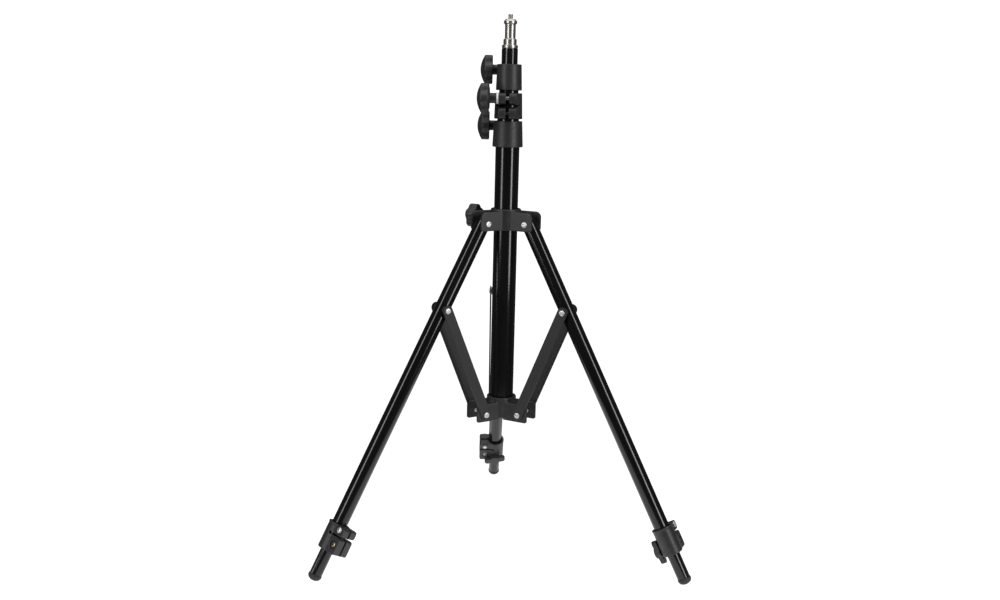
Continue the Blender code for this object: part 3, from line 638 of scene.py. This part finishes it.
def nut(radius, thickness, bore):
    """A hexagonal nut along X from 0."""
    made = softened(skin([circle(radius, 0, 6), circle(radius, thickness, 6)]), 0.3 * MM)
    cut(made, cylinder(bore, (0, 0, -MM), (0, 0, thickness + MM)))
    made.data.transform(turn(90, "Y"))
    return made


def rivet(inner, outer):
    """A rivet along Y whose domed, dimpled head ends at outer. A negative inner end has a head too."""
    dimple = 1.3 * MM
    face = outer - RIVET_HEAD
    head = [
        (0, outer - 0.9 * MM, 0),
        (dimple, outer - 0.8 * MM, 0.2 * MM),
        (dimple + 0.3 * MM, outer, 0.25 * MM),
        (RIVET_HEAD_RADIUS - 0.5 * MM, outer - 0.2 * MM, 0.5 * MM),
        (RIVET_HEAD_RADIUS, face, 0.15 * MM),
        (RIVET_RADIUS, face, 0),
    ]
    if inner < 0:
        tail = [(radius, -height, edge) for radius, height, edge in reversed(head)]
    else:
        tail = [(RIVET_RADIUS, inner, 0.3 * MM), (0, inner, 0)]
    made = turned(head + tail, SMALL_SIDES)
    made.data.transform(turn(-90, "X"))
    return made


# Column


def column_tubes():
    place = column_frame()
    for number in range(1, 5):
        node = f"column_tube_{number}"
        low, high = local_box(node, place)
        body = "column" if number == 1 else f"stage_{number}"
        piece(fine_tube(high.x, low.z, high.z), f"{node}_fine", body, "gloss_black", place, [node])
        if number > 1:
            carry(f"guide_bush_{number}", "nylon")


def spigot():
    """The chromed 16 mm spigot with its cap ring, flanges, neck and threaded stud."""
    place = column_frame()
    low, high = local_box("spigot", place)
    seat = low.z + SPIGOT_SEAT
    plug = local_box("column_tube_4", place)[1].x - TUBE_WALL - GAP
    crown = high.z - SPIGOT_CROWN
    lower = [
        (0, low.z, 0),
        (plug, low.z, 0.5 * MM),
        (plug, seat, 0),
        (SPIGOT_CAP, seat, 0.4 * MM),
        (SPIGOT_CAP, seat + 3.6 * MM, 0.6 * MM),
        (SPIGOT_FLANGE, seat + 3.6 * MM, 0.2 * MM),
        (SPIGOT_FLANGE, seat + 10.2 * MM, 0.4 * MM),
        (SPIGOT_NECK, seat + 11.4 * MM, 0.8 * MM),
        (SPIGOT_NECK, crown - 6.4 * MM, 0.8 * MM),
        (SPIGOT_FLANGE, crown - 5.6 * MM, 0.3 * MM),
        (SPIGOT_FLANGE, crown - 2.8 * MM, 0.5 * MM),
        (5.6 * MM, crown, 0.5 * MM),
        (2.4 * MM, crown, 0.2 * MM),
        (2.4 * MM, crown + 0.4 * MM, 0),
    ]
    loops = [circle(radius, height) for radius, height in rounded(lower, 4) if radius > 0]
    thread_start, thread_end = crown + 0.45 * MM, high.z - 0.6 * MM
    loops += thread(STUD_CREST, STUD_ROOT, STUD_PITCH, thread_start, thread_end, SIDES)
    loops += [circle(2.7 * MM, high.z - 0.3 * MM), circle(2.3 * MM, high.z)]
    piece(skin(loops), "spigot_fine", "stage_4", "chrome", place, ["spigot"])


def collar_body(number, bottom, top, bolt_y, half, bores):
    """A split sleeve with an upper and a lower pair of lugs, its heights from the bolt's level."""
    low_radius, top_radius, _ = COLLARS[number - 1]
    middle = (bottom + top) / 2
    tip = bolt_y + LUG_BEYOND_BOLT
    body = cylinder(low_radius, (0, 0, bottom), (0, 0, top), SIDES, top_radius)
    for low, high in ((bottom + COLLAR_EDGE, middle - LUG_GAP), (middle + LUG_GAP, top - COLLAR_EDGE)):
        corners = [(tip, low, COLLAR_CORNER), (tip, high, COLLAR_CORNER)]
        lugs = plate([(0, low, 0), *corners, (0, high, 0)], half)
        lugs.data.transform(turn(90, "Z"))
        join(body, lugs)
    upper_bore, lower_bore = bores
    cut(
        body,
        cylinder(upper_bore, (0, 0, middle), (0, 0, top + PAST), SIDES),
        cylinder(lower_bore, (0, 0, bottom - PAST), (0, 0, middle), SIDES),
    )
    side = low_radius + PAST
    cut(
        body,
        box((-COLLAR_SLIT, 0, bottom - PAST), (COLLAR_SLIT, tip + PAST, top + PAST)),
        box((-side, SLOT_FROM_AXIS, middle - WALL_SLOT), (side, tip + PAST, middle + WALL_SLOT)),
    )
    screw_z = bottom + LOWER_SCREW
    cut(
        body,
        cylinder(COLLAR_BOLT + GAP, (-side, bolt_y, 0), (side, bolt_y, 0)),
        cylinder(COLLAR_SCREW + GAP, (-side, bolt_y, screw_z), (side, bolt_y, screw_z)),
    )
    return moulded(body, 0.45 * MM, 7)


def collars():
    radii = [local_box(f"column_tube_{number}", column_frame())[1].x for number in range(1, 5)]
    for number in (1, 2, 3):
        half = COLLARS[number - 1][2]
        body = "column" if number == 1 else f"stage_{number}"
        place, bolt_y, knob_x = collar_frame(number)
        node = f"column_collar_{number}"
        low, high = local_box(node, place)
        bores = (radii[number] + GAP, radii[number - 1] + GAP)
        made = collar_body(number, low.z, high.z, bolt_y, half, bores)
        piece(made, f"{node}_fine", body, "charcoal_plastic", place, [node])

        towards_knob = turn(0 if knob_x > 0 else 180, "Z")
        at_bolt = place @ move(y=bolt_y) @ towards_knob
        grip = knob(KNOB_RADIUS, KNOB_LOBE_DEPTH, KNOB_RIM, KNOB_DEPTH, KNOB_SHAFT)
        at_knob = at_bolt @ move(abs(knob_x)) @ turn(90, "X")
        node = f"collar_knob_{number}"
        piece(grip, f"{node}_fine", f"knob_{number}", "charcoal_plastic", at_knob, [node])

        space = abs(knob_x) - half
        ring = [
            (WASHER_RADIUS, 0.1 * MM, 0.4 * MM),
            (WASHER_RADIUS, space - 0.1 * MM, 0.4 * MM),
            (WASHER_BORE, space - 0.1 * MM, 0.2 * MM),
            (WASHER_BORE, 0.1 * MM, 0.2 * MM),
        ]
        washer = turned(ring, 48)
        washer.data.transform(turn(90, "Y"))
        piece(washer, f"collar_washer_{number}", body, "nylon", at_bolt @ move(half))

        far_end = half - PIN_SUNK
        node = f"collar_bolt_{number}"
        pin = threaded_pin(COLLAR_BOLT, 0.8 * MM, -far_end, abs(knob_x) - GAP)
        piece(pin, f"{node}_fine", body, "zinc", at_bolt, [node])
        node = f"collar_screw_{number}"
        pin = threaded_pin(COLLAR_SCREW, 0.7 * MM, -far_end, far_end)
        at_screw = place @ move(0, bolt_y, low.z + LOWER_SCREW)
        piece(pin, f"{node}_fine", body, "dull_steel", at_screw, [node])


# Yoke and bracket


def hub_and_cheeks(hub_heights, cheek_heights, reach, gap, cheek, corners):
    """A hub with three pairs of cheeks, its heights from the pivots' level."""
    hub_bottom, hub_top = hub_heights
    cheek_bottom, cheek_top = cheek_heights
    top_corner, bottom_corner = corners
    rims = [(HUB_RADIUS, hub_bottom, HUB_EDGE), (HUB_RADIUS, hub_top, HUB_EDGE)]
    hub = turned([(0, hub_bottom, 0), *rims, (0, hub_top, 0)])
    outline = [
        (CHEEK_ROOT, cheek_bottom, 0),
        (reach, cheek_bottom, bottom_corner),
        (reach, cheek_top, top_corner),
        (CHEEK_ROOT, cheek_top, 0),
    ]
    arms, rooms = [], []
    for azimuth in LEG_SIDES_OUT.values():
        arm = plate(outline, gap + cheek)
        room = box((CHEEK_ROOM, -gap, cheek_bottom - MM), (reach + MM, gap, hub_top + MM))
        for shape, group in ((arm, arms), (room, rooms)):
            shape.data.transform(turn(azimuth, "Z"))
            group.append(shape)
    join(hub, *arms)
    return cut(hub, *rooms)


def rivet_holes(radius):
    holes = []
    for azimuth in LEG_SIDES_OUT.values():
        hole = cylinder(RIVET_RADIUS + GAP, (radius, -20 * MM, 0), (radius, 20 * MM, 0))
        hole.data.transform(turn(azimuth, "Z"))
        holes.append(hole)
    return holes


def yoke():
    pivot = Vector(joint("yoke_rise")["pos_m"])
    place = column_frame(pivot.z)
    radius = (pivot - place.translation).length
    low, high = local_box("leg_yoke", place)
    cheeks = (low.z, YOKE_CHEEK_TOP)
    body = hub_and_cheeks((low.z, high.z), cheeks, YOKE_REACH, YOKE_GAP, YOKE_CHEEK, YOKE_CORNERS)
    out = Vector(joint("yoke_lock_turn")["axis"])
    lock = frame_at(place.translation, Vector((0, 0, 1)).cross(out), (0, 0, 1))
    to_lock = place.inverted() @ lock
    boss = cylinder(BOSS_RADIUS, (YOKE_BORE, 0, BOSS_LEVEL), (BOSS_END, 0, BOSS_LEVEL), SMALL_SIDES)
    boss.data.transform(to_lock)
    join(body, boss)
    hole = cylinder(BOSS_HOLE, (CHEEK_ROOT, 0, BOSS_LEVEL), (BOSS_END + PAST, 0, BOSS_LEVEL))
    hole.data.transform(to_lock)
    bore = cylinder(YOKE_BORE, (0, 0, -20 * MM), (0, 0, 30 * MM), SIDES)
    cut(body, bore, hole, *rivet_holes(radius))
    piece(moulded(body, 0.55 * MM, 6), "leg_yoke_fine", "yoke", "charcoal_casting", place, ["leg_yoke"])

    for side in LEG_SIDES_OUT:
        node = f"yoke_rivet_{side}"
        at_leg = leg_frame(side)
        low, high = local_box(node, at_leg)
        pin = rivet(-1, high.y)
        centre = at_leg @ move((low.x + high.x) / 2, 0, (low.z + high.z) / 2)
        piece(pin, f"{node}_fine", "yoke", "zinc", centre, [node])

    grip = knob(
        YOKE_KNOB_RADIUS, YOKE_KNOB_LOBE_DEPTH, YOKE_KNOB_RIM, YOKE_KNOB_DEPTH, YOKE_KNOB_SHAFT
    )
    at_knob = lock @ move(BOSS_END + GAP, 0, BOSS_LEVEL) @ turn(180 / KNOB_LOBES, "X")
    piece(grip, "yoke_knob_fine", "yoke_lock", "charcoal_plastic", at_knob, ["yoke_knob"])
    carry("yoke_bolt", "zinc")


def bracket():
    pivot = Vector(joint("fold")["pos_m"])
    place = column_frame(pivot.z)
    radius = (pivot - place.translation).length
    low, high = local_box("lower_bracket", place)
    hub, cheeks = (BRACKET_BOTTOM, high.z), (low.z, BRACKET_CHEEK_TOP)
    body = hub_and_cheeks(
        hub, cheeks, BRACKET_REACH, BRACKET_GAP, BRACKET_CHEEK, BRACKET_CORNERS
    )
    tube = local_box("column_tube_1", place)[1].x
    cup = cylinder(tube + GAP, (0, 0, BRACKET_FLOOR), (0, 0, 30 * MM), SIDES)
    cut(body, cup, *rivet_holes(radius))
    node = "lower_bracket"
    piece(moulded(body, 0.55 * MM, 6), f"{node}_fine", "column", "charcoal_casting", place, [node])


def struts():
    bar = None
    for side in LEG_SIDES_OUT:
        place = strut_frame(side)
        for letter in "ab":
            node = f"strut_{side}_{letter}"
            low, high = local_box(node, place)
            if bar is None:
                bar = strut_bar(low, high)
                made = bar
            else:
                made = copy_of(bar)
            at = place @ move(y=(low.y + high.y) / 2)
            piece(made, f"{node}_fine", f"struts_{side}", "strut_black", at, [node])

            node = f"strut_rivet_{side}_{letter}"
            low, high = local_box(node, place)
            flip = turn(0 if high.y > 0 else 180, "Z")
            outer = max(high.y, -low.y)
            inner = min(abs(high.y), abs(low.y))
            piece(rivet(inner, outer), f"{node}_fine", "column", "zinc", place @ flip, [node])


def strut_bar(low, high):
    """A flat bar with round ends and a hole in each, along Z from the lower rivet."""
    half = high.x
    length = high.z - half
    corners = [(-half, low.z), (half, low.z), (half, high.z), (-half, high.z)]
    bar = plate([(x, z, half * 0.98) for x, z in corners], (high.y - low.y) / 2)
    holes = [cylinder(RIVET_HOLE, (0, -5 * MM, z), (0, 5 * MM, z)) for z in (0, length)]
    return softened(cut(bar, *holes), 0.3 * MM, 1)


# Legs


def legs():
    shapes = {}
    for side in LEG_SIDES_OUT:
        place = leg_frame(side)
        tip = local_box(f"foot_cap_{side}", place)[0].z
        down = place @ move(z=tip)
        if not shapes:
            shapes = leg_shapes(place, tip, side)
        clamp_place = down @ turn(CLAMP_TURNS[side], "Z")
        rows = (
            ("leg_tube", f"leg_{side}", "gloss_black", down),
            ("strut_clip", f"leg_{side}", "charcoal_plastic", down),
            ("clip_rivet", f"leg_{side}", "zinc", place),
            ("leg_clamp", f"leg_{side}", "charcoal_casting", clamp_place),
            ("leg_extension", f"foot_{side}", "gloss_black", down),
            ("foot_cap", f"foot_{side}", "foot_rubber", down),
            ("thumb_screw", f"thumb_{side}", "charcoal_plastic", wing_place(side)),
        )
        for kind, body, look, at in rows:
            node = f"{kind}_{side}"
            piece(copy_of(shapes[kind]), f"{node}_fine", body, look, at, [node])
        for level, (radial, along) in CLAMP_BOLTS.items():
            at = clamp_place @ move(0, radial, along)
            kind = f"{level}_screw"
            piece(copy_of(shapes[kind]), f"clamp_{kind}_{side}", f"leg_{side}", SCREW_LOOKS[level], at)
            sunk = NUT_RECESS[1] if level == "lower" else 0
            at_nut = at @ move(sunk - CLAMP_LUG_HALF)
            node = f"clamp_{level}_nut_{side}"
            piece(copy_of(shapes["nut"]), node, f"leg_{side}", NUT_LOOKS[level], at_nut)
    for shape in shapes.values():
        bpy.data.objects.remove(shape)


def wing_place(side):
    """The thumb screw's frame: X out along its shank, its bar turned as the CAD node's is."""
    thumb = joint(f"thumb_{side}_turn")
    origin, out = Vector(thumb["pos_m"]), Vector(thumb["axis"])
    spread = [vertex.co - origin for vertex in frame["nodes"][f"thumb_screw_{side}"].data.vertices]
    flat = [point - point.dot(out) * out for point in spread]
    bar = max(flat, key=lambda point: point.length).normalized()
    return frame_at(origin, bar, out.cross(bar))


def leg_shapes(place, tip, side):
    """The meshes that the three legs share, in the frame at a foot's tip with +Z up the leg."""

    def along(node):
        low, high = local_box(f"{node}_{side}", place)
        return low.z - tip, high.z - tip, high.x

    low, high, radius = along("leg_tube")
    pivots = [-tip, (along("yoke_rivet")[0] + along("yoke_rivet")[1]) / 2]
    rings = sorted(pivot + offset for pivot in pivots for offset in (-6 * MM, 6 * MM))
    upper = fine_tube(radius, low, high, [ring for ring in rings if low < ring < high - MM])
    holes = [cylinder(RIVET_HOLE, (0, -20 * MM, pivot), (0, 20 * MM, pivot)) for pivot in pivots]
    cut(upper, *holes)

    low, high, clip_radius = along("strut_clip")
    flank = BRACKET_GAP + BRACKET_CHEEK
    clip = turned(
        [(0, low, 0), (clip_radius, low, 0.8 * MM), (clip_radius, high, 0.8 * MM), (0, high, 0)]
    )
    cut(clip, box((0, -flank, low - MM), (flank, flank, high + MM)))
    join(clip, cylinder(CLIP_BOSS, (0, -flank, -tip), (0, flank, -tip)))
    cut(
        clip,
        cylinder(radius + GAP, (0, 0, low - 9 * MM), (0, 0, high + 9 * MM), SIDES),
        cylinder(RIVET_RADIUS + GAP, (0, -30 * MM, -tip), (0, 30 * MM, -tip)),
    )

    low, high, extension_radius = along("leg_extension")
    head = local_box(f"clip_rivet_{side}", place)[1].y
    return {
        "leg_tube": upper,
        "strut_clip": moulded(clip, 0.45 * MM, 6),
        "clip_rivet": rivet(-1, head),
        "leg_clamp": clamp(radius, extension_radius),
        "leg_extension": fine_tube(extension_radius, low, high),
        "foot_cap": foot_cap(low - GAP),
        "thumb_screw": thumb_screw(extension_radius),
        "upper_screw": button_screw(2 * MM, 3.7 * MM, 2.1 * MM, -CLAMP_LUG_HALF - 3.2 * MM, CLAMP_LUG_HALF),
        "lower_screw": button_screw(
            2 * MM, 3.6 * MM, 1.8 * MM, -CLAMP_LUG_HALF + 0.2 * MM, CLAMP_LUG_HALF - CLAMP_RECESS[1]
        ),
        "nut": clamp_nut(),
    }


def clamp_nut():
    made = nut(3.9 * MM, 2.6 * MM, 2.05 * MM)
    made.data.transform(move(-2.6 * MM))
    return made


def clamp(upper_radius, lower_radius):
    """A leg's split clamp: two pairs of lugs, a keyhole slot between them and a rim at the top."""
    bottom, top = CLAMP_ENDS
    body = turned(
        [
            (0, bottom, 0),
            (CLAMP_RADIUS, bottom, 0.8 * MM),
            (CLAMP_RADIUS, top - 2.4 * MM, 0),
            (CLAMP_RADIUS + CLAMP_RIM, top - 2 * MM, 0),
            (CLAMP_RADIUS + CLAMP_RIM, top, 0.6 * MM),
            (0, top, 0),
        ]
    )
    slot_low, slot_high = CLAMP_SLOT - CLAMP_SLOT_HALF, CLAMP_SLOT + CLAMP_SLOT_HALF
    for low, high in ((bottom + CLAMP_LUG_EDGE, slot_low), (slot_high, top - CLAMP_LUG_EDGE)):
        tips = [(CLAMP_LUG_TIP, low, CLAMP_LUG_CORNER), (CLAMP_LUG_TIP, high, CLAMP_LUG_CORNER)]
        lugs = plate([(0, low, 0), *tips, (0, high, 0)], CLAMP_LUG_HALF)
        lugs.data.transform(turn(90, "Z"))
        join(body, lugs)
    reach = CLAMP_LUG_HALF + 6 * MM
    beyond_tip = CLAMP_LUG_TIP + PAST
    slot_start = CLAMP_SLOT_FROM_AXIS
    lower_radial, lower_along = CLAMP_BOLTS["lower"]
    recess_radius, recess = CLAMP_RECESS
    recess_floor = (CLAMP_LUG_HALF - recess, lower_radial, lower_along)
    nut_radius, nut_depth = NUT_RECESS
    nut_floor = (nut_depth - CLAMP_LUG_HALF, lower_radial, lower_along)
    cut(
        body,
        cylinder(upper_radius + GAP, (0, 0, CLAMP_STEP), (0, 0, top + PAST), SIDES),
        cylinder(lower_radius + GAP, (0, 0, bottom - PAST), (0, 0, CLAMP_STEP), SIDES),
    )
    cut(
        body,
        box((-CLAMP_SLIT, 0, bottom - PAST), (CLAMP_SLIT, beyond_tip, top + PAST)),
        box((-reach, slot_start, slot_low), (reach, beyond_tip, slot_high)),
        cylinder(CLAMP_SLOT_END, (-reach, slot_start, CLAMP_SLOT), (reach, slot_start, CLAMP_SLOT)),
        cylinder(THUMB_HOLE, (-20 * MM, 0, THUMB_SCREW), (0, 0, THUMB_SCREW)),
        cylinder(recess_radius, recess_floor, (reach, lower_radial, lower_along)),
        cylinder(nut_radius, (-reach, lower_radial, lower_along), nut_floor),
        *[cylinder(CLAMP_HOLE, (-reach, y, z), (reach, y, z)) for y, z in CLAMP_BOLTS.values()],
    )
    return moulded(body, 0.45 * MM, 6)


def thumb_screw(tube_radius):
    """A bar grip with a hub on a shank, along +X from the tube's side."""
    inner = CLAMP_RADIUS - tube_radius
    half = WING_WIDTH / 2
    corners = [(-WING_REACH, -half), (WING_REACH, -half), (WING_REACH, half), (-WING_REACH, half)]
    grip = plate([(x, z, half * 0.98) for x, z in corners], WING_THICKNESS / 2)
    grip.data.transform(move(inner + WING_THICKNESS / 2) @ turn(90, "Z"))
    hub_end = inner + WING_THICKNESS + 1.4 * MM
    join(grip, cylinder(7 * MM, (inner, 0, 0), (hub_end, 0, 0)))
    join(grip, cylinder(2.5 * MM, (0, 0, 0), (inner + MM, 0, 0)))
    return moulded(grip, 0.4 * MM, 8)


def foot_cap(step):
    """A rounded rubber cap with a plug up the tube."""
    plug = 6.5 * MM
    wide = 8.4 * MM
    corners = [
        (0, 22 * MM, 0),
        (plug, 22 * MM, 0.8 * MM),
        (plug, step, 0),
        (wide, step, 0.3 * MM),
        (wide, 5 * MM, 1.5 * MM),
        (7 * MM, 2.4 * MM, 1.5 * MM),
        (4.2 * MM, 0.7 * MM, 2 * MM),
        (0.4 * MM, 0, 0),
        (0, 0, 0),
    ]
    return turned(corners)


# Stage, light and camera


def camera():
    data = bpy.data.cameras.new("camera")
    data.lens = CAMERA_LENS
    data.sensor_width = CAMERA_SENSOR
    data.clip_start = 0.01
    made = bpy.data.objects.new("camera", data)
    made.location = column_frame().translation + Vector(CAMERA_PLACE)
    made.rotation_euler = [math.radians(angle) for angle in CAMERA_TURN]
    bpy.context.scene.collection.objects.link(made)
    bpy.context.scene.camera = made


def softbox(name, place, aim, width, height, brightness):
    data = bpy.data.lights.new(name, "AREA")
    data.shape = "RECTANGLE"
    data.size = width
    data.size_y = height
    data.energy = brightness * width * height
    made = bpy.data.objects.new(name, data)
    made.location = place
    made.rotation_euler = (Vector(aim) - Vector(place)).to_track_quat("-Z", "Y").to_euler()
    bpy.context.scene.collection.objects.link(made)


def lights():
    """Tall strips at either side of the camera, a low one, and a wide soft light from above."""
    centre = column_frame().translation
    facing = math.atan2(CAMERA_PLACE[1], CAMERA_PLACE[0])
    for side, (offset, bottom, top, brightness) in STRIPS.items():
        angle = facing + math.radians(offset)
        out = LIGHT_DISTANCE * Vector((math.cos(angle), math.sin(angle), 0))
        middle = centre + Vector((0, 0, (bottom + top) / 2))
        softbox(f"strip_{side}", middle + out, middle, STRIP_WIDTH, top - bottom, brightness)
    above = centre + Vector((0, 0, OVERHEAD_HEIGHT))
    softbox("overhead", above, centre, OVERHEAD_SIDE, OVERHEAD_SIDE, OVERHEAD_BRIGHTNESS)


def white_world():
    """White where the camera looks past the stand, and a dim even fill everywhere else."""
    world = bpy.data.worlds.new("studio")
    world.use_nodes = True
    bpy.context.scene.world = world
    nodes, links = world.node_tree.nodes, world.node_tree.links
    background = nodes["Background"]
    background.inputs["Color"].default_value = (1, 1, 1, 1)
    path = nodes.new("ShaderNodeLightPath")
    level = nodes.new("ShaderNodeMapRange")
    level.inputs["To Min"].default_value = WORLD_FILL
    level.inputs["To Max"].default_value = 1.1
    links.new(path.outputs["Is Camera Ray"], level.inputs["Value"])
    links.new(level.outputs["Result"], background.inputs["Strength"])


def floor():
    """A pale floor whose edge fades into the white behind it."""
    disc = skin([circle(FLOOR_RADIUS, -2 * MM), circle(FLOOR_RADIUS, -GAP)], "floor")
    centre = column_frame().translation
    disc.location = (centre.x, centre.y, 0)
    made = bpy.data.materials.new("floor")
    made.use_nodes = True
    nodes, links = made.node_tree.nodes, made.node_tree.links
    shader = nodes["Principled BSDF"]
    shader.inputs["Base Color"].default_value = (0.3, 0.3, 0.3, 1)
    shader.inputs["Roughness"].default_value = 0.9
    shader.inputs["Specular IOR Level"].default_value = 0.1
    shader.inputs["Emission Color"].default_value = (1, 1, 1, 1)
    shader.inputs["Emission Strength"].default_value = 1
    where = nodes.new("ShaderNodeTexCoord")
    length = nodes.new("ShaderNodeVectorMath")
    length.operation = "LENGTH"
    fade = nodes.new("ShaderNodeMapRange")
    fade.interpolation_type = "SMOOTHSTEP"
    fade.inputs["From Min"].default_value, fade.inputs["From Max"].default_value = FLOOR_FADE
    fade.inputs["To Min"].default_value = 1
    fade.inputs["To Max"].default_value = 0
    links.new(where.outputs["Object"], length.inputs[0])
    links.new(length.outputs["Value"], fade.inputs["Value"])
    links.new(fade.outputs["Result"], shader.inputs["Alpha"])
    disc.data.materials.append(made)


camera()
lights()
white_world()
floor()
column_tubes()
spigot()
collars()
yoke()
bracket()
struts()
legs()
bpy.context.scene.view_settings.view_transform = "Standard"
